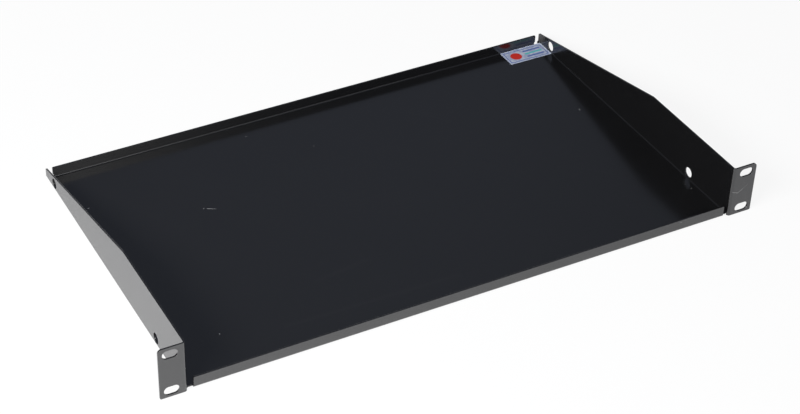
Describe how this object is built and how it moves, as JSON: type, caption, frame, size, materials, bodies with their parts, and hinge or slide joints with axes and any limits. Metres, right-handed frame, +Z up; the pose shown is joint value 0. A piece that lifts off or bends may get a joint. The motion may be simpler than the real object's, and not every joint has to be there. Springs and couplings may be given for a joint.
{
  "type": "cantilever rack shelf",
  "caption": "Shallow shelf folded from black steel sheet, with low front and rear lips, tapering side walls and slotted ears that bolt to the front rails of an equipment rack.",
  "frame": {"origin": "centre of the four rack slots, in the plane of the ears' rear faces, which bear on the rack's front rails", "axes": "+X across the rack, +Y from the ears to the rear, +Z up from the tray"},
  "size_m": [0.4826, 0.273, 0.0431],
  "materials": {
    "powder_coat": "satin black powder coat"
  },
  "bodies": {
    "root": {"shelf": "powder_coat"}
  },
  "joints": []
}
